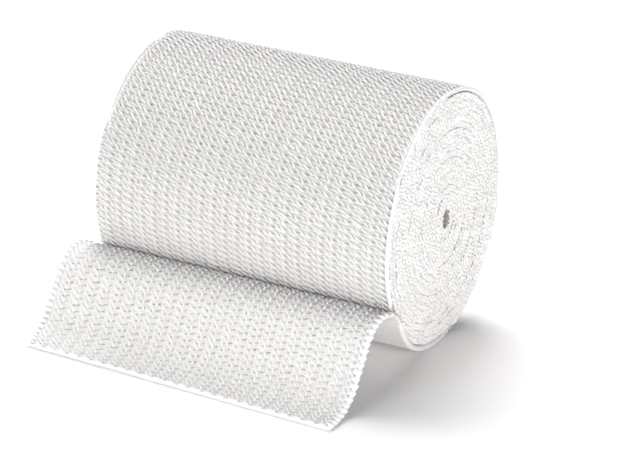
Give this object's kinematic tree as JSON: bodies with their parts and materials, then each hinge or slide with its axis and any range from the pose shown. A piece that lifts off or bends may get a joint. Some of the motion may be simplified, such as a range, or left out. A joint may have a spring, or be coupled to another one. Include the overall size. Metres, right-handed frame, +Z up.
{
  "type": "elastic bandage roll",
  "caption": "Elastic bandage wound into a roll that lies on its side, with its loose end turned over in a low wave and laid out in front.",
  "frame": {"origin": "on the surface that the roll rests on, straight under the roll's axis and midway along it, in the middle of the flat spot", "axes": "+X along the roll's axis, +Z up, and the loose end leaves the roll towards -Y"},
  "size_m": [0.1076, 0.1134, 0.0799],
  "materials": {
    "bandage_cloth": "matte white knitted elastic cotton"
  },
  "bodies": {
    "root": {"wound_roll": "bandage_cloth", "loose_end": "bandage_cloth"}
  },
  "joints": []
}
